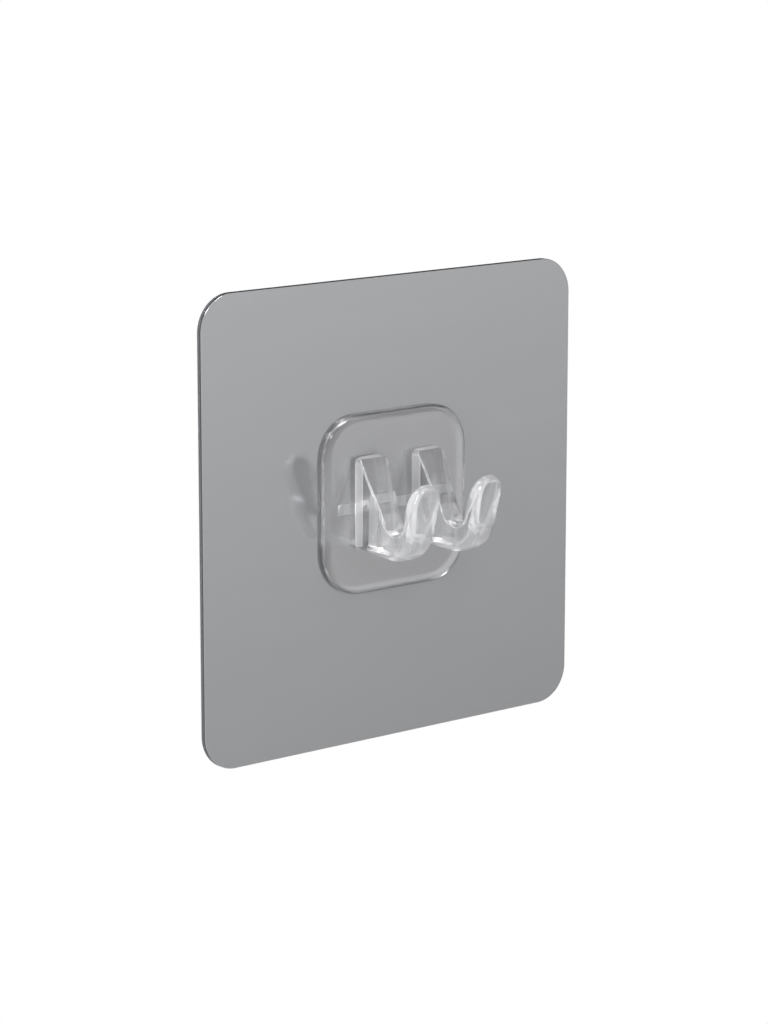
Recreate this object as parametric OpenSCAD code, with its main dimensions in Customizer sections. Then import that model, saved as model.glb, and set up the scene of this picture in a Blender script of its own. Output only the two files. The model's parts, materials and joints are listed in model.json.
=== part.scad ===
// Clear double hook bonded to a square self-adhesive sheet.
// Millimetres. The wall is the plane y = 0, the hooks reach towards -y and +z is up.
// The origin is the middle of the sheet's wall side.

/* [Sheet] */
// Width and height of the square sheet
sheet_w = 60; // [40:1:100]
// Radius of the sheet's corners
sheet_r = 4.7; // [1:0.1:12]
// Thickness of the grey film
film_t = 0.4; // [0.2:0.05:1]
// Thickness of the adhesive behind the film
adhesive_t = 0.25; // [0.1:0.05:1]
// Thickness of the liner that peels off before use
liner_t = 0.1; // [0.05:0.01:0.2]

/* [Base] */
// Width and height of the moulding's square base
base_w = 23.2; // [22:0.1:32]
// Radius of the base's corners
base_r = 5.6; // [2:0.1:8]
// Thickness of the base
base_t = 1.3; // [1:0.1:3]
// Radius of the softened rim round the front of the base
rim_r = 0.8; // [0.2:0.1:1]
// How far the base sits to the right of the sheet's middle
base_right = -0.1; // [-3:0.1:3]
// How far the base sits above the sheet's middle
base_up = 1.3; // [-3:0.1:3]
// Length of the relief groove across the back of the base
groove_l = 18.6; // [10:0.1:19]
// Width of the relief groove
groove_w = 1.15; // [0.6:0.05:2]
// Depth of the relief groove
groove_d = 0.4; // [0.2:0.05:0.8]

/* [Bond] */
// Thickness of the bond between the base and the film
bond_t = 0.15; // [0.05:0.01:0.5]
// How far the bond stops short of the base's outline
bond_inset = 0.5; // [0.1:0.1:1.5]

/* [Hook foot] */
// Distance between the middles of the two feet
foot_pitch = 9.3; // [7:0.1:12]
// Width of a foot where it meets the base
foot_w = 4.7; // [3.5:0.1:6]
// Height of a foot where it meets the base
foot_h = 12.2; // [10:0.1:15]
// Thickness of a foot
foot_t = 1.1; // [0.6:0.1:2]
// Thickness left at the foot's top, where the ramp cuts across it
foot_top_t = 0.45; // [0.2:0.05:0.9]
// Radius of a foot's corners
foot_r = 0.9; // [0.5:0.1:1.6]
// How far the sides of a foot lean in towards its front
foot_draft = 0.2; // [0.05:0.05:0.4]
// Height of a foot's middle above the middle of the base
foot_up = 0.25; // [-1:0.05:1.5]

/* [Hook arm] */
// Width of the arm and of its tip
arm_w = 4.2; // [3:0.1:5]
// Width of the crest that the load hangs on, at the bottom of the throat
crest_w = 3.1; // [2.5:0.1:4.4]
// Thickness of the arm below the throat
arm_t = 3.25; // [2:0.05:4]
// How far the underside of the arm drops from the foot to the outer bend
arm_drop = 0.5; // [0:0.1:1]
// Radius of the throat
throat_r = 1.95; // [1.5:0.05:2.3]
// Distance from the front of the base to the middle of the throat
throat_out = 6.6; // [6:0.1:8]
// Radius of the arm's outer bend
heel_r = 4.75; // [3:0.05:5.5]
// Distance from the front of the base to the front of the tip
reach = 12.6; // [11.8:0.1:15]
// Height of the tip above the bottom of the arm
tip_rise = 10.5; // [9:0.1:12.5]
// Lean of the tip's inner face away from the wall, in degrees
tip_lean_in = 22.7; // [10:0.1:24]
// Lean of the tip's front face away from the wall, in degrees
tip_lean_out = 13.3; // [6:0.1:18]
// Length over which the end of the tip is rounded off
tip_end = 2.6; // [1:0.1:3]
// Turn of each hook away from the other, in degrees
hook_splay = 2.2; // [0:0.1:6]

/* [Hidden] */
$fn = 64;

// Faces of the layers, counted from the wall
liner_front = liner_t;
adhesive_front = liner_front + adhesive_t;
film_front = adhesive_front + film_t;
bond_front = film_front + bond_t;
base_front = bond_front + base_t;

// A hook is drawn with its distance out from the base as x and its height above the base's middle as y
foot_top = foot_up + foot_h / 2;
foot_bottom = foot_up - foot_h / 2;
// The arm starts this far inside the foot's outline
foot_ledge = (foot_w - arm_w) / 2;
ramp_start = [foot_top_t, foot_top - foot_ledge];
under_start = [foot_t, foot_bottom + foot_ledge];
arm_bottom = under_start.y - arm_drop;
throat_mid = [throat_out, arm_bottom + arm_t + throat_r];
tip_top = arm_bottom + tip_rise;
// Depth to which the arm and the foot run into what carries them
root = 0.5;

// Corner radii of the arm's cross-section, at the root, in the bend and at the tip
inner_r = [0.35, 0.6, 0.7];
outer_r = [0.5, 1.1, 0.7];
// Stations along the ramp, the bend and the tip, and points round each corner of a section
ramp_steps = 8;
bend_steps = 14;
tip_steps = 6;
end_steps = 8;
corner_steps = 6;
// The end of the tip closes at this angle, a little short of a point
end_angle = 86;

function unit(v) = v / norm(v);
function polar(r, a) = r * [cos(a), sin(a)];
function mix(a, b, s) = a + (b - a) * s;
function ease(s) = s * s * (3 - 2 * s);

// The ramp runs from the foot's top edge down to the throat and touches its circle
ramp_sight = throat_mid - ramp_start;
ramp_angle = atan2(ramp_sight.y, ramp_sight.x) - asin(throat_r / norm(ramp_sight));
throat_from = ramp_angle - 90;
throat_to = -tip_lean_in;
tip_inner_start = throat_mid + polar(throat_r, throat_to);
function ramp_at(out) = [out, ramp_start.y + (out - ramp_start.x) * tan(ramp_angle)];

// The front of the tip and the underside of the arm meet in the heel
heel_corner = [reach - (tip_top - arm_bottom) * tan(tip_lean_out), arm_bottom];
heel_turn = 90 - tip_lean_out;
heel_leg = heel_r * tan(heel_turn / 2);
heel_mid = heel_corner + [-heel_leg, heel_r];

// The underside starts level at the foot, drops and runs level into the heel
function underside(s) = [mix(under_start.x, heel_mid.x, s), mix(under_start.y, arm_bottom, ease(s))];

// Points of the tip at a height, on its inner and its front face
function tip_inner(h) = [tip_inner_start.x + (h - tip_inner_start.y) * tan(tip_lean_in), h];
function tip_outer(h) = [heel_corner.x + (h - arm_bottom) * tan(tip_lean_out), h];
tip_outer_start = heel_mid + polar(heel_r, heel_turn - 90);
inner_end = tip_inner(tip_top - tip_end);
outer_end = tip_outer(tip_top - tip_end);

// A station is [inner point, outer point, place along the arm, share of the width, share of the thickness],
// with the place running from 0 at the foot to 1 and 2 at the ends of the bend and 3 at the tip
ramp_stations = [
    for (i = [0:ramp_steps - 1])
        let (s = i / ramp_steps)
            [mix(ramp_start, throat_mid + polar(throat_r, throat_from), s),
             underside(s), s, 1, 1]
];
bend_stations = [
    for (i = [0:bend_steps])
        let (s = i / bend_steps)
            [throat_mid + polar(throat_r, mix(throat_from, throat_to, s)),
             heel_mid + polar(heel_r, mix(-90, heel_turn - 90, s)), 1 + s, 1, 1]
];
tip_stations = [
    for (i = [1:tip_steps])
        let (s = i / tip_steps)
            [mix(tip_inner_start, inner_end, s), mix(tip_outer_start, outer_end, s), 2 + s, 1, 1]
];
end_stations = [
    for (i = [1:end_steps])
        let (
            a = end_angle * i / end_steps,
            h = tip_top - tip_end + tip_end * sin(a),
            inner = tip_inner(h),
            outer = tip_outer(h),
            // the last stretch also closes in thickness, as a half round
            nose = (outer.x - inner.x) / 2,
            past = max(0, (h - (tip_top - nose)) / nose)
        )
            [inner, outer, 3, cos(a), sqrt(max(0.01, 1 - past * past))]
];
root_station = [[-root, ramp_start.y], [-root, under_start.y], 0, 1, 1];
stations = concat([root_station], ramp_stations, bend_stations, tip_stations, end_stations);

// Value along the arm, from its values at the root, in the bend and at the tip
function along(v, place) =
    place < 1 ? mix(v[0], v[1], ease(place)) :
    place < 2 ? v[1] :
    mix(v[1], v[2], ease(min(1, place - 2)));

// Points of one rounded section, as [width, thickness] offsets from its middle
function section(inner_w, outer_w, thick, r_in, r_out) = [
    for (corner = [[1, 1], [-1, 1], [-1, -1], [1, -1]])
        let (
            wide = (corner.y > 0 ? inner_w : outer_w) / 2,
            r = min(corner.y > 0 ? r_in : r_out, wide - 0.02, thick / 2 - 0.02),
            from = corner == [1, 1] ? 0 : corner == [-1, 1] ? 90 : corner == [-1, -1] ? 180 : 270
        )
            for (i = [0:corner_steps])
                [corner.x * (wide - r), corner.y * (thick / 2 - r)] + polar(r, from + 90 * i / corner_steps)
];

// One ring of the arm in space, from a station
function ring(s) =
    let (
        middle = (s[0] + s[1]) / 2,
        up = unit(s[0] - s[1]),
        thick = norm(s[0] - s[1]) * s[4],
        inner_w = along([arm_w, crest_w, arm_w], s[2]) * s[3],
        flat = section(inner_w, arm_w * s[3], thick, along(inner_r, s[2]), along(outer_r, s[2]))
    )
        [for (p = flat) [p.x, -(middle.x + up.x * p.y), middle.y + up.y * p.y]];

ring_points = 4 * (corner_steps + 1);

// Rings of the foot, from inside the base to its narrower front
function foot_ring(lean, out) = [
    for (p = section(foot_w - 2 * lean, foot_w - 2 * lean, foot_h - 2 * lean, foot_r - lean, foot_r - lean))
        [p.x, -out, foot_up + p.y]
];
foot_rings = [foot_ring(0, -root), foot_ring(0, 0), foot_ring(foot_draft, foot_t)];

// A closed skin through rings of points
module loft(rings) {
    ring_count = len(rings);
    points = [for (r = rings) each r];
    walls = [
        for (k = [0:ring_count - 2], i = [0:ring_points - 1])
            let (
                j = (i + 1) % ring_points,
                a = k * ring_points + i,
                b = k * ring_points + j,
                c = a + ring_points,
                d = b + ring_points
            )
                each [[a, d, b], [a, c, d]]
    ];
    start_cap = [[for (i = [0:ring_points - 1]) i]];
    end_cap = [[for (i = [ring_points - 1:-1:0]) (ring_count - 1) * ring_points + i]];
    polyhedron(points, concat(walls, start_cap, end_cap));
}

// Flat outline with round corners
module rounded(w, h, r) {
    square([w - 2 * r, h], center = true);
    square([w, h - 2 * r], center = true);
    for (x = [-1, 1], y = [-1, 1])
        translate([x * (w / 2 - r), y * (h / 2 - r)])
            circle(r);
}

// A plate that stands upright, with its back at a distance from the wall
module upright(from_wall, thick) {
    translate([0, -from_wall, 0])
        rotate([90, 0, 0])
            linear_extrude(thick)
                children();
}

// Half of the base's edge seen end on, from its middle out to its rounded rim
module rim_profile(half) {
    square([half, base_t - rim_r]);
    square([half - rim_r, base_t]);
    translate([half - rim_r, base_t - rim_r])
        intersection() {
            circle(rim_r);
            square(rim_r);
        }
}

// Square base with round corners and a softened front rim
module base_plate() {
    straight = base_w - 2 * base_r;
    for (turn = [0, 90])
        rotate([0, 0, turn])
            rotate([90, 0, 0])
                linear_extrude(straight, center = true)
                    for (side = [0, 1])
                        mirror([side, 0])
                            rim_profile(base_w / 2);
    for (x = [-1, 1], y = [-1, 1])
        translate([x * straight / 2, y * straight / 2, 0])
            rotate_extrude()
                rim_profile(base_r);
}

module base() {
    difference() {
        translate([0, -bond_front, 0])
            rotate([90, 0, 0])
                base_plate();
        upright(bond_front - groove_d, 2 * groove_d)
            rounded(groove_l, groove_w, groove_w / 2 - 0.01);
    }
}

// Everything behind the ramp, a hair lower than the arm's own face
module behind_ramp() {
    back = -2 * root;
    front = foot_t + 1;
    rotate([90, 0, -90])
        linear_extrude(2 * foot_w, center = true)
            translate([-0.03, 0])
                polygon([[back, foot_bottom - 1], [front, foot_bottom - 1], ramp_at(front), ramp_at(back)]);
}

// One hook on its foot, on the right for side 1 and on the left for side -1
module hook(side) {
    translate([side * foot_pitch / 2, 0, 0]) {
        intersection() {
            translate([0, -base_front, 0])
                loft(foot_rings);
            translate([0, -base_front, 0])
                rotate([0, 0, side * hook_splay])
                    behind_ramp();
        }
        translate([0, -base_front, 0])
            rotate([0, 0, side * hook_splay])
                loft([for (s = stations) ring(s)]);
    }
}

// Clear moulding: the base and both hooks are one piece of plastic
module hook_moulding() {
    color([0.9, 0.92, 0.93, 0.5])
        translate([base_right, 0, base_up]) {
            base();
            hook(-1);
            hook(1);
        }
}

// Clear adhesive that holds the moulding on the film
module bond_pad() {
    bond_w = base_w - 2 * bond_inset;
    color([0.66, 0.66, 0.67])
        translate([base_right, 0, base_up])
            upright(film_front, bond_t)
                rounded(bond_w, bond_w, base_r - bond_inset);
}

// Grey film that spreads the load over the wall
module film_sheet() {
    color([0.62, 0.63, 0.64])
        upright(adhesive_front, film_t)
            rounded(sheet_w, sheet_w, sheet_r);
}

// Adhesive that sticks the film to the wall
module adhesive_layer() {
    color([0.35, 0.36, 0.38])
        upright(liner_front, adhesive_t)
            rounded(sheet_w, sheet_w, sheet_r);
}

// Liner over the adhesive, peeled off before use
module release_liner() {
    color([0.85, 0.87, 0.9])
        upright(0, liner_t)
            rounded(sheet_w, sheet_w, sheet_r);
}

hook_moulding();
bond_pad();
film_sheet();
adhesive_layer();
release_liner();
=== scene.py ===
# Clear double hook on a square grey self-adhesive sheet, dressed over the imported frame
import json
import math

import bmesh
import bpy
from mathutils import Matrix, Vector

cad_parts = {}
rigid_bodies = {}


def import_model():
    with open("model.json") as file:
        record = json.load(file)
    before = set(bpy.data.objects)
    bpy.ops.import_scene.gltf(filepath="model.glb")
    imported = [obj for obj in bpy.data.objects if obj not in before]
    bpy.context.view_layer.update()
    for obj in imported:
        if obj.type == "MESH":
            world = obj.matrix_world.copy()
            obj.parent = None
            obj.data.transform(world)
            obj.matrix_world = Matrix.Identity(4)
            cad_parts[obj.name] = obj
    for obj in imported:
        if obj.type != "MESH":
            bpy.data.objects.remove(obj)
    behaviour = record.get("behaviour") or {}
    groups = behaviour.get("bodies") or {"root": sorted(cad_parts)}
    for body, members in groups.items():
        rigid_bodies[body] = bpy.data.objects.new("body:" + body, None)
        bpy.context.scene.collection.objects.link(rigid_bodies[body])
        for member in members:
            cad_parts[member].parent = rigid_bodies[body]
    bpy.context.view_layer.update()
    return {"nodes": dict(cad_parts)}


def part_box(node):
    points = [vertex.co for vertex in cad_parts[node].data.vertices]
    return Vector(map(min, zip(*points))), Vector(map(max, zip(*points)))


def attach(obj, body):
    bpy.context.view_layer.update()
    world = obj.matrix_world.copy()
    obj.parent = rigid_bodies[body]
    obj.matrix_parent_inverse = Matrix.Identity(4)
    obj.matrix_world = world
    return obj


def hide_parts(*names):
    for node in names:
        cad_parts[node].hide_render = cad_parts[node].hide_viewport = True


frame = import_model()
mm = 0.001
print("frame loaded:", sorted(frame["nodes"]))


# Shared helpers

def linear(hexColour):
    # sRGB hex to the linear colour that the shaders take
    def channel(pair):
        v = int(pair, 16) / 255
        return v / 12.92 if v <= 0.04045 else ((v + 0.055) / 1.055) ** 2.4
    return tuple(channel(hexColour[i:i + 2]) for i in (1, 3, 5)) + (1.0,)


def addNode(tree, kind, settings=None, inputs=None):
    node = tree.nodes.new(kind)
    for name, value in (settings or {}).items():
        setattr(node, name, value)
    for key, value in (inputs or {}).items():
        if isinstance(value, bpy.types.NodeSocket):
            tree.links.new(value, node.inputs[key])
        else:
            node.inputs[key].default_value = value
    return node


def newMaterial(name):
    material = bpy.data.materials.new(name)
    material.use_nodes = True
    material.node_tree.nodes.clear()
    return material, material.node_tree


def perMm(size):
    # texture scale, in repeats per metre, for a pattern of this size in millimetres
    return 1 / (size * mm)


# Materials

clearPlastic = {
    "tintA": "#fafafb",
    "tintB": "#f4f5f6",
    "ior": 1.57,
    "flowSize": 3.0,       # mm, flow ripple of the melt in the mould
    "flowHeight": 0.002,   # mm
}
# share of the light that goes straight through, and how rough the skin is, low and high; the rest is a white
# painted glow that stands in for the light the clear plastic refracts and reflects
paintedGlowGrades = {
    "base": {"clear": 1.0, "rough": (0.02, 0.04)},
    "ramp": {"clear": 0.95, "rough": (0.03, 0.05)},
    "bend": {"clear": 0.92, "rough": (0.03, 0.06)},   # painted glow, whiter farther along the arm
    "tip": {"clear": 0.8, "rough": (0.04, 0.07)},
    "foot": {"clear": 0.7, "rough": (0.04, 0.08)},   # whitest: painted glow for the light its sides refract
}


def clearPolycarbonate(name, p, grade):
    # injection-moulded clear polycarbonate: water-clear, bright at its edges, faint flow ripple
    material, tree = newMaterial(name)
    place = addNode(tree, "ShaderNodeTexCoord")
    flow = addNode(tree, "ShaderNodeTexNoise", None, {
        "Vector": place.outputs["Object"],
        "Scale": perMm(p["flowSize"]),
        "Detail": 2.0,
    })
    tint = addNode(tree, "ShaderNodeMix", {"data_type": "RGBA"}, {
        0: flow.outputs["Fac"],
        6: linear(p["tintA"]),
        7: linear(p["tintB"]),
    })
    rough = addNode(tree, "ShaderNodeMapRange", None, {
        "Value": flow.outputs["Fac"],
        "From Min": 0.3,
        "From Max": 0.7,
        "To Min": grade["rough"][0],
        "To Max": grade["rough"][1],
    })
    ripple = addNode(tree, "ShaderNodeBump", None, {
        "Height": flow.outputs["Fac"],
        "Distance": p["flowHeight"] * mm,
        "Strength": 1.0,
    })
    surface = addNode(tree, "ShaderNodeBsdfPrincipled", None, {
        "Base Color": tint.outputs[2],
        "Roughness": rough.outputs["Result"],
        "Normal": ripple.outputs["Normal"],
        "IOR": p["ior"],
        "Transmission Weight": grade["clear"],
    })
    addNode(tree, "ShaderNodeOutputMaterial", None, {"Surface": surface.outputs["BSDF"]})
    return material


greyFilm = {
    "light": "#babbbd",
    "dark": "#b7b8ba",
    "metallic": 0.85,
    "specular": 0.5,
    "roughLow": 0.1,
    "roughHigh": 0.12,
    "streakLength": 30.0,   # mm, faint lengthwise streaks from the rolls
    "streakWidth": 1.6,     # mm
    "grainSize": 0.25,      # mm, drawn coarser than the real grain so that it shows
    "grainHeight": 0.0002,  # mm
}


def calenderedFilm(name, p):
    # calendered PVC film with a silver-grey pigment: satin, mirrors what is near it softly
    material, tree = newMaterial(name)
    place = addNode(tree, "ShaderNodeTexCoord")
    stretch = addNode(tree, "ShaderNodeMapping", None, {
        "Vector": place.outputs["Object"],
        "Scale": (p["streakWidth"] / p["streakLength"], 1.0, 1.0),
    })
    streaks = addNode(tree, "ShaderNodeTexNoise", None, {
        "Vector": stretch.outputs["Vector"],
        "Scale": perMm(p["streakWidth"]),
        "Detail": 3.0,
    })
    colour = addNode(tree, "ShaderNodeMix", {"data_type": "RGBA"}, {
        0: streaks.outputs["Fac"],
        6: linear(p["dark"]),
        7: linear(p["light"]),
    })
    rough = addNode(tree, "ShaderNodeMapRange", None, {
        "Value": streaks.outputs["Fac"],
        "From Min": 0.3,
        "From Max": 0.7,
        "To Min": p["roughLow"],
        "To Max": p["roughHigh"],
    })
    grain = addNode(tree, "ShaderNodeTexNoise", None, {
        "Vector": place.outputs["Object"],
        "Scale": perMm(p["grainSize"]),
        "Detail": 2.0,
    })
    pebble = addNode(tree, "ShaderNodeBump", None, {
        "Height": grain.outputs["Fac"],
        "Distance": p["grainHeight"] * mm,
        "Strength": 1.0,
    })
    surface = addNode(tree, "ShaderNodeBsdfPrincipled", None, {
        "Base Color": colour.outputs[2],
        "Metallic": p["metallic"],
        "Specular IOR Level": p["specular"],
        "Roughness": rough.outputs["Result"],
        "Normal": pebble.outputs["Normal"],
    })
    addNode(tree, "ShaderNodeOutputMaterial", None, {"Surface": surface.outputs["BSDF"]})
    return material


brightenedBondFilm = {
    # lighter than the open film's grey: painted light making up for the light the clear base above holds back
    "light": "#c9c9ca",
    "dark": "#c5c5c6",
    "paintedStripColour": "#e6e6e6",    # painted highlight, paler where the groove in the base lies over the film, for the light its air gap reflects
    "metallic": 0.8,
    "roughness": 0.2,
    "cloudSize": 5.0,      # mm, faint unevenness of the bond
    "stripLong": 18.6,
    "stripWide": 1.5,
    "stripDown": 0.4,        # mm below the middle
    "stripFade": 0.08,       # mm over which the painted strip ends
}


def bondedFilm(name, p, middle):
    # acrylic bond wetted out on the silver film, painted lighter than the open film: even, no grain, with a
    # paler painted highlight strip under the groove
    material, tree = newMaterial(name)
    place = addNode(tree, "ShaderNodeTexCoord")
    clouds = addNode(tree, "ShaderNodeTexNoise", None, {
        "Vector": place.outputs["Object"],
        "Scale": perMm(p["cloudSize"]),
        "Detail": 2.0,
    })
    wet = addNode(tree, "ShaderNodeMix", {"data_type": "RGBA"}, {
        0: clouds.outputs["Fac"],
        6: linear(p["dark"]),
        7: linear(p["light"]),
    })
    centred = addNode(tree, "ShaderNodeMapping", None, {
        "Vector": place.outputs["Object"],
        "Location": Vector((0, 0, p["stripDown"] * mm)) - middle,
    })
    aside = addNode(tree, "ShaderNodeVectorMath", {"operation": "ABSOLUTE"}, {0: centred.outputs["Vector"]})
    past = addNode(tree, "ShaderNodeVectorMath", {"operation": "SUBTRACT"}, {
        0: aside.outputs["Vector"],
        1: (p["stripLong"] / 2 * mm, 0.0, p["stripWide"] / 2 * mm),
    })
    parts = addNode(tree, "ShaderNodeSeparateXYZ", None, {"Vector": past.outputs["Vector"]})
    outside = addNode(tree, "ShaderNodeMath", {"operation": "MAXIMUM"}, {
        0: parts.outputs["X"],
        1: parts.outputs["Z"],
    })
    # painted highlight strip under the groove
    paintedStrip = addNode(tree, "ShaderNodeMapRange", None, {
        "Value": outside.outputs[0],
        "From Min": -p["stripFade"] * mm,
        "From Max": 0.0,
        "To Min": 1.0,
        "To Max": 0.0,
    })
    colour = addNode(tree, "ShaderNodeMix", {"data_type": "RGBA"}, {
        0: paintedStrip.outputs["Result"],
        6: wet.outputs[2],
        7: linear(p["paintedStripColour"]),
    })
    surface = addNode(tree, "ShaderNodeBsdfPrincipled", None, {
        "Base Color": colour.outputs[2],
        "Metallic": p["metallic"],
        "Specular IOR Level": 0.0,
        "Roughness": p["roughness"],
    })
    addNode(tree, "ShaderNodeOutputMaterial", None, {"Surface": surface.outputs["BSDF"]})
    return material


def thinFilm(name, light, dark, fleck, roughness):
    # thin plastic film or gel, seen flat or on its knife-cut edge: slightly uneven, with fine drag marks
    material, tree = newMaterial(name)
    place = addNode(tree, "ShaderNodeTexCoord")
    drag = addNode(tree, "ShaderNodeTexNoise", None, {
        "Vector": place.outputs["Object"],
        "Scale": perMm(fleck),
        "Detail": 3.0,
    })
    colour = addNode(tree, "ShaderNodeMix", {"data_type": "RGBA"}, {
        0: drag.outputs["Fac"],
        6: linear(dark),
        7: linear(light),
    })
    marks = addNode(tree, "ShaderNodeBump", None, {
        "Height": drag.outputs["Fac"],
        "Distance": 0.01 * mm,
        "Strength": 0.6,
    })
    surface = addNode(tree, "ShaderNodeBsdfPrincipled", None, {
        "Base Color": colour.outputs[2],
        "Roughness": roughness,
        "Normal": marks.outputs["Normal"],
    })
    addNode(tree, "ShaderNodeOutputMaterial", None, {"Surface": surface.outputs["BSDF"]})
    return material


basePlastic = clearPolycarbonate("clear moulded polycarbonate", clearPlastic, paintedGlowGrades["base"])
armPlastics = [clearPolycarbonate("clear moulded polycarbonate, " + part, clearPlastic, paintedGlowGrades[part])
               for part in ("ramp", "bend", "tip")]
footPlastic = clearPolycarbonate("clear moulded polycarbonate, painted-glow sides", clearPlastic, paintedGlowGrades["foot"])
filmFace = calenderedFilm("silver-grey calendered PVC film", greyFilm)
# the film's cut edge is painted near black: painted shade for the dark line its edge shows
shadedFilmEdge = thinFilm("cut edge of the PVC film, painted shade", "#38393c", "#28292c", 0.4, 0.35)
bondLow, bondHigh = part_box("bond_pad")
bondFace = bondedFilm("clear acrylic bond over grey film", brightenedBondFilm, (bondLow + bondHigh) / 2)
# the gel's cut edge is a darker copy of its face: painted shade
shadedGelEdge = thinFilm("cut edge of the gel adhesive, painted shade", "#434447", "#343538", 0.8, 0.25)
gelFace = thinFilm("acrylic gel adhesive over grey film", "#a2a3a6", "#97989b", 4.0, 0.12)
linerFace = thinFilm("siliconised PET liner", "#c9ced4", "#bcc2c9", 6.0, 0.18)
# the liner's cut edge is a darker copy of its face: painted shade
shadedLinerEdge = thinFilm("cut edge of the PET liner, painted shade", "#55575b", "#45474b", 0.4, 0.3)
print("materials ready")


# Flat layers, cut square with round corners

def roundedSheetTree():
    tree = bpy.data.node_groups.new("rounded sheet", "GeometryNodeTree")
    for name in ("Width", "Height", "Corner Radius", "Thickness"):
        tree.interface.new_socket(name, in_out="INPUT", socket_type="NodeSocketFloat")
    tree.interface.new_socket("Back Middle", in_out="INPUT", socket_type="NodeSocketVector")
    for name in ("Face Material", "Edge Material"):
        tree.interface.new_socket(name, in_out="INPUT", socket_type="NodeSocketMaterial")
    tree.interface.new_socket("Sheet", in_out="OUTPUT", socket_type="NodeSocketGeometry")
    given = addNode(tree, "NodeGroupInput").outputs
    outline = addNode(tree, "GeometryNodeCurvePrimitiveQuadrilateral", {"mode": "RECTANGLE"}, {
        "Width": given["Width"],
        "Height": given["Height"],
    })
    rounded = addNode(tree, "GeometryNodeFilletCurve", {"mode": "POLY"}, {
        "Curve": outline.outputs["Curve"],
        "Count": 24,
        "Radius": given["Corner Radius"],
    })
    back = addNode(tree, "GeometryNodeFillCurve", {"mode": "NGONS"}, {"Curve": rounded.outputs["Curve"]})
    body = addNode(tree, "GeometryNodeExtrudeMesh", {"mode": "FACES"}, {
        "Mesh": back.outputs["Mesh"],
        "Offset Scale": given["Thickness"],
        "Individual": False,
    })
    turned = addNode(tree, "GeometryNodeFlipFaces", None, {"Mesh": back.outputs["Mesh"]})
    joined = addNode(tree, "GeometryNodeJoinGeometry", None, {"Geometry": turned.outputs["Mesh"]})
    tree.links.new(body.outputs["Mesh"], joined.inputs["Geometry"])
    sealed = addNode(tree, "GeometryNodeMergeByDistance", None, {
        "Geometry": joined.outputs["Geometry"],
        "Distance": 0.001 * mm,
    })
    upright = addNode(tree, "GeometryNodeTransform", None, {
        "Geometry": sealed.outputs["Geometry"],
        "Translation": given["Back Middle"],
        "Rotation": (math.pi / 2, 0.0, 0.0),
    })
    real = addNode(tree, "GeometryNodeRealizeInstances", None, {"Geometry": upright.outputs["Geometry"]})
    faced = addNode(tree, "GeometryNodeSetMaterial", None, {
        "Geometry": real.outputs["Geometry"],
        "Material": given["Face Material"],
    })
    edged = addNode(tree, "GeometryNodeSetMaterial", None, {
        "Geometry": faced.outputs["Geometry"],
        "Selection": body.outputs["Side"],
        "Material": given["Edge Material"],
    })
    addNode(tree, "NodeGroupOutput", None, {"Sheet": edged.outputs["Geometry"]})
    return tree


def makeSheet(name, tree, values):
    carrier = bpy.data.objects.new(name + "_nodes", bpy.data.meshes.new(name + "_nodes"))
    bpy.context.collection.objects.link(carrier)
    modifier = carrier.modifiers.new("rounded sheet", "NODES")
    modifier.node_group = tree
    for item in tree.interface.items_tree:
        if item.in_out == "INPUT":
            modifier[item.identifier] = values[item.name]
    evaluated = carrier.evaluated_get(bpy.context.evaluated_depsgraph_get())
    mesh = bpy.data.meshes.new_from_object(evaluated)
    mesh.name = name
    bpy.data.objects.remove(carrier)
    mesh.shade_smooth()
    mesh.set_sharp_from_angle(angle=math.radians(35))
    sheet = bpy.data.objects.new(name, mesh)
    bpy.context.collection.objects.link(sheet)
    return sheet


# The cut rim is softened by this much, in millimetres
layers = {
    "film_sheet": {"corner": 4.7, "face": filmFace, "edge": shadedFilmEdge, "body": "hook",
                   "slot": "grey_film", "rim": 0.06},
    "bond_pad": {"corner": 5.1, "face": bondFace, "edge": bondFace, "body": "hook",
                 "slot": "clear_bond", "rim": 0.02},
    "adhesive_layer": {"corner": 4.7, "face": gelFace, "edge": shadedGelEdge, "body": "hook",
                       "slot": "gel_adhesive", "rim": 0.04},
    "release_liner": {"corner": 4.7, "face": linerFace, "edge": shadedLinerEdge, "body": "liner",
                      "slot": "liner_film", "rim": 0.02},
}
sheetTree = roundedSheetTree()
for node, p in layers.items():
    low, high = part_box(node)
    middle = (low + high) / 2
    layer = makeSheet("dressed_" + node, sheetTree, {
        "Width": high.x - low.x,
        "Height": high.z - low.z,
        "Corner Radius": p["corner"] * mm,
        "Thickness": high.y - low.y,
        "Back Middle": (middle.x, high.y, middle.z),
        "Face Material": p["face"],
        "Edge Material": p["edge"],
    })
    softened = layer.modifiers.new("softened rim", "BEVEL")
    softened.width = p["rim"] * mm
    softened.segments = 2
    softened.limit_method = "ANGLE"
    softened.angle_limit = math.radians(60)
    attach(layer, p["body"])
    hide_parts(node)
print("flat layers made:", ", ".join(layers))


# Clear moulding: base, feet and arms, joined into one skin

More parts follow.
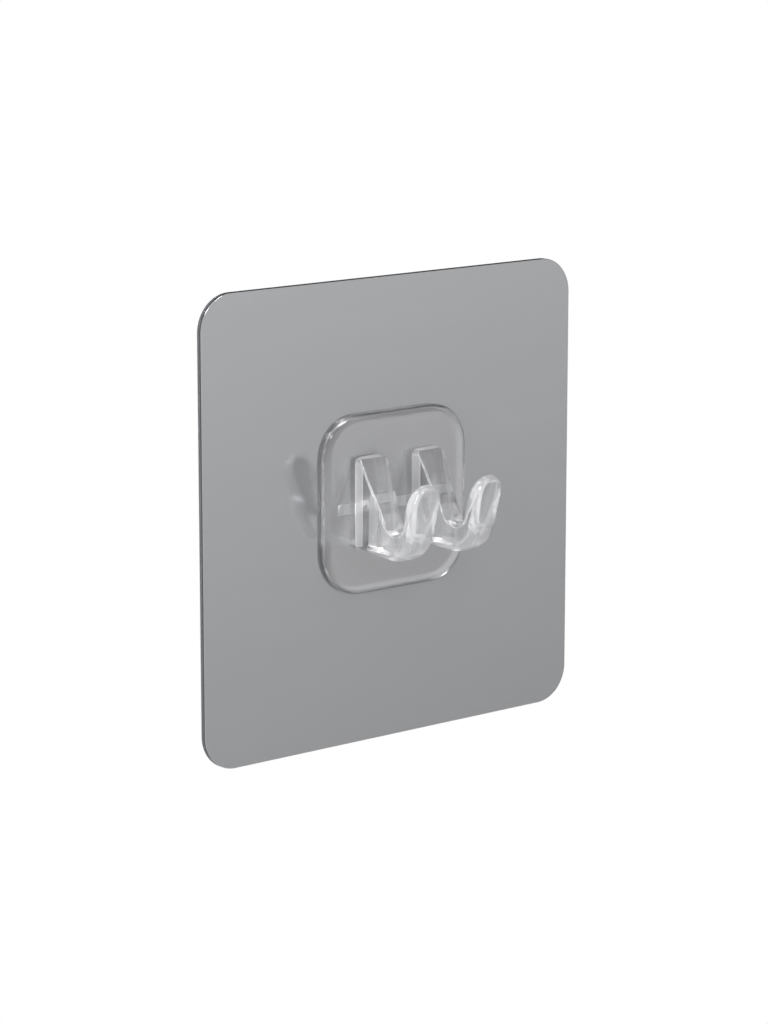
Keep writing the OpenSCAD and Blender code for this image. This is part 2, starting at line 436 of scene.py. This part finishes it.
moulding = {
    "baseThick": 1.3,
    "baseRound": 5.6,
    "plateDrop": 0.35,     # the front lies this far below the solid's, as the narrow rim in the photo shows
    "wallHigh": 0.55,
    "wallSoft": 0.07,
    "rimWide": 0.95,       # gentle slope from the wall's top up to the flat front
    "rimCurve": 1.25,
    "sunk": 0.03,          # the back sits this far in the bond, so no air shows between them
    "grooveLong": 18.6,
    "grooveWide": 1.5,
    "grooveDown": 0.4,
    "grooveDeep": 0.15,
    "footPitch": 9.3,
    "footWide": 4.7,       # where the foot meets the base
    "footHigh": 12.2,
    "footThick": 1.1,
    "footDraft": 0.2,      # how far its sides lean in towards its front
    "footTopThick": 0.45,  # left at the foot's top, where the ramp cuts across it
    "footRound": 1.0,
    "footUp": 0.25,
    "footSoft": 0.12,      # rounding of the foot's front edges
    "footFillet": 0.1,     # hollow rounding where the foot meets the base
    "footTuck": 0.16,      # its sides stand this much steeper than the solid's
    "armWide": 4.2,
    "crestWide": 3.1,
    "armThick": 3.25,
    "armDrop": 0.5,
    "throatRound": 1.95,
    "throatOut": 6.6,
    "heelRound": 4.75,
    "reach": 12.6,
    "tipRise": 10.5,
    "tipLeanIn": 22.7,
    "tipLeanOut": 13.3,
    "tipEnd": 2.6,
    "splay": 2.2,
    "innerRound": (0.35, 0.6, 0.7),   # section corners at the root, in the bend and at the tip
    "outerRound": (0.5, 1.1, 0.7),
    "root": 0.5,           # how far feet and arms run into what carries them
    "rampEnd": 0.45,       # where along the arm the painted glow steps up, in stretches of its line
    "bendEnd": 0.8,
    "rampSteps": 28,
    "bendSteps": 36,
    "tipSteps": 20,
    "endSteps": 18,
    "cornerSteps": 10,
    "rimSteps": 8,
}


def polar(radius, degrees):
    a = math.radians(degrees)
    return Vector((math.cos(a), math.sin(a))) * radius


def ease(s):
    return s * s * (3 - 2 * s)


def mix(a, b, s):
    return a + (b - a) * s


def roundedRing(innerWide, outerWide, thick, innerRound, outerRound, steps):
    # section with round corners, as offsets across the width and the thickness
    ring = []
    for turn, (sx, sy) in enumerate(((1, 1), (-1, 1), (-1, -1), (1, -1))):
        wide = (innerWide if sy > 0 else outerWide) / 2
        r = min(innerRound if sy > 0 else outerRound, wide * 0.99, thick * 0.495)
        middle = Vector((sx * (wide - r), sy * (thick / 2 - r)))
        ring += [middle + polar(r, 90 * (turn + i / steps)) for i in range(steps + 1)]
    return ring


def armStations(p):
    # pairs of points on the inner and the outer line of the hook, as distance out and height
    ledge = (p["footWide"] - p["armWide"]) / 2
    rampStart = Vector((p["footTopThick"], p["footUp"] + p["footHigh"] / 2 - ledge))
    underStart = Vector((p["footThick"], p["footUp"] - p["footHigh"] / 2 + ledge))
    bottom = underStart.y - p["armDrop"]
    throat = Vector((p["throatOut"], bottom + p["armThick"] + p["throatRound"]))
    tipTop = bottom + p["tipRise"]
    sight = throat - rampStart
    rampAngle = math.degrees(math.atan2(sight.y, sight.x) - math.asin(p["throatRound"] / sight.length))
    throatFrom = rampAngle - 90
    throatTo = -p["tipLeanIn"]
    leanIn = math.tan(math.radians(p["tipLeanIn"]))
    leanOut = math.tan(math.radians(p["tipLeanOut"]))
    heelCorner = Vector((p["reach"] - p["tipRise"] * leanOut, bottom))
    heelTurn = 90 - p["tipLeanOut"]
    heelLeg = p["heelRound"] * math.tan(math.radians(heelTurn / 2))
    heel = heelCorner + Vector((-heelLeg, p["heelRound"]))
    tipInnerStart = throat + polar(p["throatRound"], throatTo)
    tipOuterStart = heel + polar(p["heelRound"], heelTurn - 90)

    def tipInner(h):
        return Vector((tipInnerStart.x + (h - tipInnerStart.y) * leanIn, h))

    def tipOuter(h):
        return Vector((heelCorner.x + (h - bottom) * leanOut, h))

    stations = [(Vector((-p["root"], rampStart.y)), Vector((-p["root"], underStart.y)), 0, 1, 1)]
    for i in range(p["rampSteps"]):
        s = i / p["rampSteps"]
        inner = mix(rampStart, throat + polar(p["throatRound"], throatFrom), s)
        outer = Vector((mix(underStart.x, heel.x, s), mix(underStart.y, bottom, ease(s))))
        stations.append((inner, outer, s, 1, 1))
    for i in range(p["bendSteps"] + 1):
        s = i / p["bendSteps"]
        inner = throat + polar(p["throatRound"], mix(throatFrom, throatTo, s))
        outer = heel + polar(p["heelRound"], mix(-90, heelTurn - 90, s))
        stations.append((inner, outer, 1 + s, 1, 1))
    shoulder = tipTop - p["tipEnd"]
    for i in range(1, p["tipSteps"] + 1):
        s = i / p["tipSteps"]
        inner = mix(tipInnerStart, tipInner(shoulder), s)
        outer = mix(tipOuterStart, tipOuter(shoulder), s)
        stations.append((inner, outer, 2 + s, 1, 1))
    for i in range(1, p["endSteps"] + 1):
        a = math.radians(88 * i / p["endSteps"])
        h = shoulder + p["tipEnd"] * math.sin(a)
        inner, outer = tipInner(h), tipOuter(h)
        nose = (outer.x - inner.x) / 2
        past = max(0.0, (h - (tipTop - nose)) / nose)
        stations.append((inner, outer, 3, math.cos(a), math.sqrt(max(0.004, 1 - past * past))))
    return stations, rampStart, rampAngle


def along(values, place):
    if place < 1:
        return mix(values[0], values[1], ease(place))
    if place < 2:
        return values[1]
    return mix(values[1], values[2], ease(min(1, place - 2)))


def bridge(bm, first, second, slot=0):
    for i in range(len(first)):
        j = (i + 1) % len(first)
        bm.faces.new((first[i], first[j], second[j], second[i])).material_index = slot


def ringEdges(bm, ring):
    return [bm.edges.get((ring[i - 1], ring[i])) or bm.edges.new((ring[i - 1], ring[i]))
            for i in range(len(ring))]


def makeMoulding(p):
    low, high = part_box("hook_moulding")
    wide = (high.x - low.x) / mm
    baseMiddle = Vector(((low.x + high.x) / 2, high.y, (low.z + high.z) / 2)) / mm
    steps = p["cornerSteps"]

    def spot(x, out, up):
        # across, out from the front of the base, and up from its middle
        return (baseMiddle + Vector((x, -(p["baseThick"] + out), up))) * mm

    def put(bm, points):
        return [bm.verts.new(spot(*point)) for point in points]

    def flatRing(bm, w, h, r, out, across=0.0, up=0.0):
        return put(bm, [(across + q.x, out, up + q.y) for q in roundedRing(w, w, h, r, r, steps)])

    def solid(name, bm, materials):
        bmesh.ops.recalc_face_normals(bm, faces=bm.faces)
        mesh = bpy.data.meshes.new(name)
        bm.to_mesh(mesh)
        bm.free()
        for material in materials:
            mesh.materials.append(material)
        piece = bpy.data.objects.new(name, mesh)
        bpy.context.collection.objects.link(piece)
        return piece

    # base: low wall, sloped rim and the relief groove in its back
    bm = bmesh.new()
    back = flatRing(bm, wide, wide, p["baseRound"], -p["baseThick"] - p["sunk"])
    last = back
    wall = p["wallHigh"]
    edge = p["wallSoft"]
    climb = p["baseThick"] - p["plateDrop"] - wall
    profile = [(0.0, wall - edge), (edge * 0.3, wall - edge * 0.3)]
    for i in range(1, p["rimSteps"] + 1):
        s = i / p["rimSteps"]
        profile.append((p["rimWide"] * s, wall + climb * (1 - (1 - s) ** p["rimCurve"])))
    for inset, up in profile:
        across = wide - 2 * inset
        ring = flatRing(bm, across, across, p["baseRound"] - inset, up - p["baseThick"])
        bridge(bm, last, ring)
        last = ring
    bm.faces.new(last)
    grooveRound = p["grooveWide"] / 2 * 0.98
    grooveBack = -p["baseThick"] - p["sunk"]
    grooveMouth, grooveFloor = [
        flatRing(bm, p["grooveLong"], p["grooveWide"], grooveRound, out, 0.0, -p["grooveDown"])
        for out in (grooveBack, p["grooveDeep"] - p["baseThick"])]
    bridge(bm, grooveMouth, grooveFloor)
    bm.faces.new(grooveFloor)
    bmesh.ops.triangle_fill(bm, use_beauty=True, edges=ringEdges(bm, back) + ringEdges(bm, grooveMouth))
    base = solid("moulded_base", bm, [basePlastic])

    stations, rampStart, rampAngle = armStations(p)
    joined = bpy.data.collections.new("moulded hooks")
    for side in (-1, 1):
        across = side * p["footPitch"] / 2
        turn = math.radians(p["splay"]) * side

        def splayed(x, out, up):
            return (across + x * math.cos(turn) + out * math.sin(turn),
                    out * math.cos(turn) - x * math.sin(turn), up)

        # foot: a plate with soft front edges, cut off along the ramp
        bm = bmesh.new()

        def footRing(inset, out):
            return flatRing(bm, p["footWide"] - 2 * inset, p["footHigh"] - 2 * inset, p["footRound"] - inset,
                            out, across, p["footUp"])

        soft = p["footSoft"]
        fillet = p["footFillet"]
        tuck = p["footTuck"]
        last = footRing(tuck - fillet, -p["root"] - p["plateDrop"])
        bm.faces.new(last)
        sides = []
        for i in range(5):
            a = math.radians(90 * i / 4)
            out = fillet * (1 - math.cos(a)) - 0.01 - p["plateDrop"]
            sides.append((tuck - fillet * (1 - math.sin(a)), out))
        for i in range(5):
            a = math.radians(90 * i / 4)
            inset = p["footDraft"] * (1 - soft / p["footThick"]) + soft * (1 - math.cos(a))
            sides.append((inset, p["footThick"] - soft + soft * math.sin(a)))
        for inset, out in sides:
            ring = footRing(inset, out)
            bridge(bm, last, ring)
            last = ring
        bm.faces.new(last)
        onRamp = Vector(spot(*splayed(0, rampStart.x - 0.03, rampStart.y)))
        rampWay = polar(1, rampAngle)
        downRamp = Vector(spot(*splayed(0, rampStart.x - 0.03 + rampWay.x, rampStart.y + rampWay.y))) - onRamp
        acrossRamp = Vector(spot(*splayed(1, rampStart.x - 0.03, rampStart.y))) - onRamp
        outward = downRamp.cross(acrossRamp)
        if outward.y > 0:
            outward = -outward
        cut = bmesh.ops.bisect_plane(bm, geom=bm.verts[:] + bm.edges[:] + bm.faces[:], plane_co=onRamp,
                                     plane_no=outward.normalized(), clear_outer=True)
        rim = [e for e in cut["geom_cut"] if isinstance(e, bmesh.types.BMEdge)]
        bmesh.ops.edgeloop_fill(bm, edges=rim)
        bmesh.ops.bevel(bm, geom=rim, offset=soft * 0.8 * mm, segments=3, profile=0.5, affect="EDGES",
                        clamp_overlap=True)
        foot = solid("moulded_foot", bm, [footPlastic])
        joined.objects.link(foot)

        # arm: one loft from inside the base down the ramp, round the throat and up the tip
        bm = bmesh.new()
        rings = []
        for inner, outer, place, widthShare, thickShare in stations:
            middle = (inner + outer) / 2
            up = (inner - outer).normalized()
            thick = (inner - outer).length * thickShare
            innerWide = along((p["armWide"], p["crestWide"], p["armWide"]), place) * widthShare
            section = roundedRing(innerWide, p["armWide"] * widthShare, thick,
                                  along(p["innerRound"], place), along(p["outerRound"], place), steps)
            points = [splayed(q.x, middle.x + up.x * q.y, middle.y + up.y * q.y) for q in section]
            rings.append(put(bm, points))
        for first, second, station in zip(rings, rings[1:], stations):
            whiter = (station[2] >= p["rampEnd"]) + (station[2] >= p["bendEnd"])
            bridge(bm, first, second, whiter)
        bm.faces.new(rings[0])
        bm.faces.new(rings[-1]).material_index = 2
        arm = solid("moulded_arm", bm, armPlastics)
        joined.objects.link(arm)

    union = base.modifiers.new("one moulding", "BOOLEAN")
    union.operation = "UNION"
    union.solver = "EXACT"
    union.material_mode = "TRANSFER"
    union.operand_type = "COLLECTION"
    union.collection = joined
    evaluated = base.evaluated_get(bpy.context.evaluated_depsgraph_get())
    mesh = bpy.data.meshes.new_from_object(evaluated)
    mesh.name = "dressed_hook_moulding"
    for piece in [base] + joined.objects[:]:
        bpy.data.objects.remove(piece)
    bpy.data.collections.remove(joined)
    mesh.shade_smooth()
    mesh.set_sharp_from_angle(angle=math.radians(40))
    piece = bpy.data.objects.new("dressed_hook_moulding", mesh)
    bpy.context.collection.objects.link(piece)
    even = piece.modifiers.new("flat faces stay flat", "WEIGHTED_NORMAL")
    even.keep_sharp = True
    return piece


hooks = makeMoulding(moulding)
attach(hooks, "hook")
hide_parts("hook_moulding")
print("clear moulding made:", len(hooks.data.polygons), "faces")


# Floor, light and camera

stageSizes = {
    "floorDrop": 320.0,       # mm below the middle of the sheet
    "floorRadius": 500.0,
    "floorColour": "#f4f4f4",
    "floorGlow": 0.6,         # lifts the floor to white where the camera sees it, its shadow stays
    "floorMirrored": 0.05,    # the same where a reflection or clear plastic sees it
    "worldSoft": 0.4,         # light from all round
    "brightSide": (-0.6, 0.3, 0.75),   # the studio is white on this side and greyer away from it
    "greyAt": -0.96,
    "whiteAt": -0.6,
    "greyLevel": 0.1,
    "darkSide": (0.8, 0.4, 0.4),       # unlit side of the studio, mirrored as the dark edge lines
    "dimFrom": 0.28,
    "darkFrom": 0.58,
    "darkLevel": 0.05,
}


def raySwitch(tree, otherwise, mirrored, byCamera):
    # one level for plain light, one for reflections and clear plastic, one for the camera
    ray = addNode(tree, "ShaderNodeLightPath")
    bent = addNode(tree, "ShaderNodeMath", {"operation": "MAXIMUM"}, {
        0: ray.outputs["Is Glossy Ray"],
        1: ray.outputs["Is Transmission Ray"],
    })
    first = addNode(tree, "ShaderNodeMix", {"data_type": "FLOAT"}, {
        0: bent.outputs[0],
        2: otherwise,
        3: mirrored,
    })
    second = addNode(tree, "ShaderNodeMix", {"data_type": "FLOAT"}, {
        0: ray.outputs["Is Camera Ray"],
        2: first.outputs[0],
        3: byCamera,
    })
    return second.outputs[0]


def whiteWorld(p):
    world = bpy.data.worlds.new("white studio")
    bpy.context.scene.world = world
    world.use_nodes = True
    tree = world.node_tree
    tree.nodes.clear()
    place = addNode(tree, "ShaderNodeTexCoord")

    def fade(way, start, end, low, high):
        # level that runs from low to high along one direction of the studio
        side = addNode(tree, "ShaderNodeVectorMath", {"operation": "DOT_PRODUCT"}, {
            0: place.outputs["Generated"],
            1: Vector(way).normalized(),
        })
        shade = addNode(tree, "ShaderNodeMapRange", None, {
            "Value": side.outputs["Value"],
            "From Min": start,
            "From Max": end,
            "To Min": low,
            "To Max": high,
        })
        return shade.outputs["Result"]

    level = addNode(tree, "ShaderNodeMath", {"operation": "MULTIPLY"}, {
        0: fade(p["brightSide"], p["greyAt"], p["whiteAt"], p["greyLevel"], 1.0),
        1: fade(p["darkSide"], p["dimFrom"], p["darkFrom"], 1.0, p["darkLevel"]),
    })
    sky = addNode(tree, "ShaderNodeBackground", None, {
        "Color": linear("#ffffff"),
        "Strength": raySwitch(tree, p["worldSoft"], level.outputs[0], 1.0),
    })
    addNode(tree, "ShaderNodeOutputWorld", None, {"Surface": sky.outputs["Background"]})


def paleFloor(p):
    # matt white studio floor, lifted to white where it is seen
    material, tree = newMaterial("matt white floor")
    surface = addNode(tree, "ShaderNodeBsdfPrincipled", None, {
        "Base Color": linear(p["floorColour"]),
        "Roughness": 0.9,
        "Specular IOR Level": 0.0,
        "Emission Color": linear("#ffffff"),
        "Emission Strength": raySwitch(tree, 0.0, p["floorMirrored"], p["floorGlow"]),
    })
    addNode(tree, "ShaderNodeOutputMaterial", None, {"Surface": surface.outputs["BSDF"]})
    mesh = bpy.data.meshes.new("floor")
    rim = [polar(p["floorRadius"] * mm, 360 * i / 96) for i in range(96)]
    mesh.from_pydata([(q.x, q.y, -p["floorDrop"] * mm) for q in rim], [], [tuple(range(96))])
    mesh.materials.append(material)
    floor = bpy.data.objects.new("floor", mesh)
    bpy.context.collection.objects.link(floor)


lamps = {
    "left_soft": {"azimuth": -28, "elevation": 35, "distance": 800, "wide": 200, "tall": 160, "watts": 1.6},
    "right_soft": {"azimuth": 16, "elevation": 38, "distance": 800, "wide": 160, "tall": 160, "watts": 1.0},
    "side_soft": {"azimuth": -80, "elevation": 15, "distance": 800, "wide": 300, "tall": 300, "watts": 3.0},
    "low_soft": {"azimuth": -74, "elevation": -11, "distance": 800, "wide": 200, "tall": 80, "watts": 0.8},
    "top_soft": {"azimuth": -45, "elevation": 65, "distance": 900, "wide": 700, "tall": 700, "watts": 3.0},
}


def direction(azimuth, elevation):
    a, e = math.radians(azimuth), math.radians(elevation)
    return Vector((math.sin(a) * math.cos(e), -math.cos(a) * math.cos(e), math.sin(e)))


def addLamps(plan):
    for name, p in plan.items():
        data = bpy.data.lights.new(name, "AREA")
        data.shape = "RECTANGLE"
        data.size = p["wide"] * mm
        data.size_y = p["tall"] * mm
        data.energy = p["watts"]
        lamp = bpy.data.objects.new(name, data)
        back = direction(p["azimuth"], p["elevation"])
        lamp.location = back * p["distance"] * mm
        lamp.rotation_euler = back.to_track_quat("Z", "Y").to_euler()
        bpy.context.collection.objects.link(lamp)


viewpoint = {
    "azimuth": -39.045,
    "elevation": 11.731,
    "distance": 430.4,    # mm from the middle of the film's front
    "aimLeft": 1.09,      # mm by which the camera stands left of that line, and below it
    "aimDown": 0.53,
    "lens": 118.15,
}


def addCamera(p):
    low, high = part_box("film_sheet")
    target = Vector(((low.x + high.x) / 2, low.y, (low.z + high.z) / 2))
    back = direction(p["azimuth"], p["elevation"])
    data = bpy.data.cameras.new("camera")
    data.lens = p["lens"]
    data.sensor_width = 36.0
    data.clip_start = 0.01
    data.clip_end = 100.0
    camera = bpy.data.objects.new("camera", data)
    turned = back.to_track_quat("Z", "Y")
    aside = turned @ Vector((-p["aimLeft"], -p["aimDown"], p["distance"]))
    camera.location = target + aside * mm
    camera.rotation_mode = "QUATERNION"
    camera.rotation_quaternion = turned
    bpy.context.collection.objects.link(camera)
    bpy.context.scene.camera = camera


whiteWorld(stageSizes)
paleFloor(stageSizes)
addLamps(lamps)
addCamera(viewpoint)
bpy.context.scene.view_settings.view_transform = "Standard"
bpy.context.scene.cycles.max_bounces = 32            # light turns many times inside the clear hooks
bpy.context.scene.cycles.transmission_bounces = 32
bpy.context.scene.cycles.glossy_bounces = 32
print("floor, light and camera set")
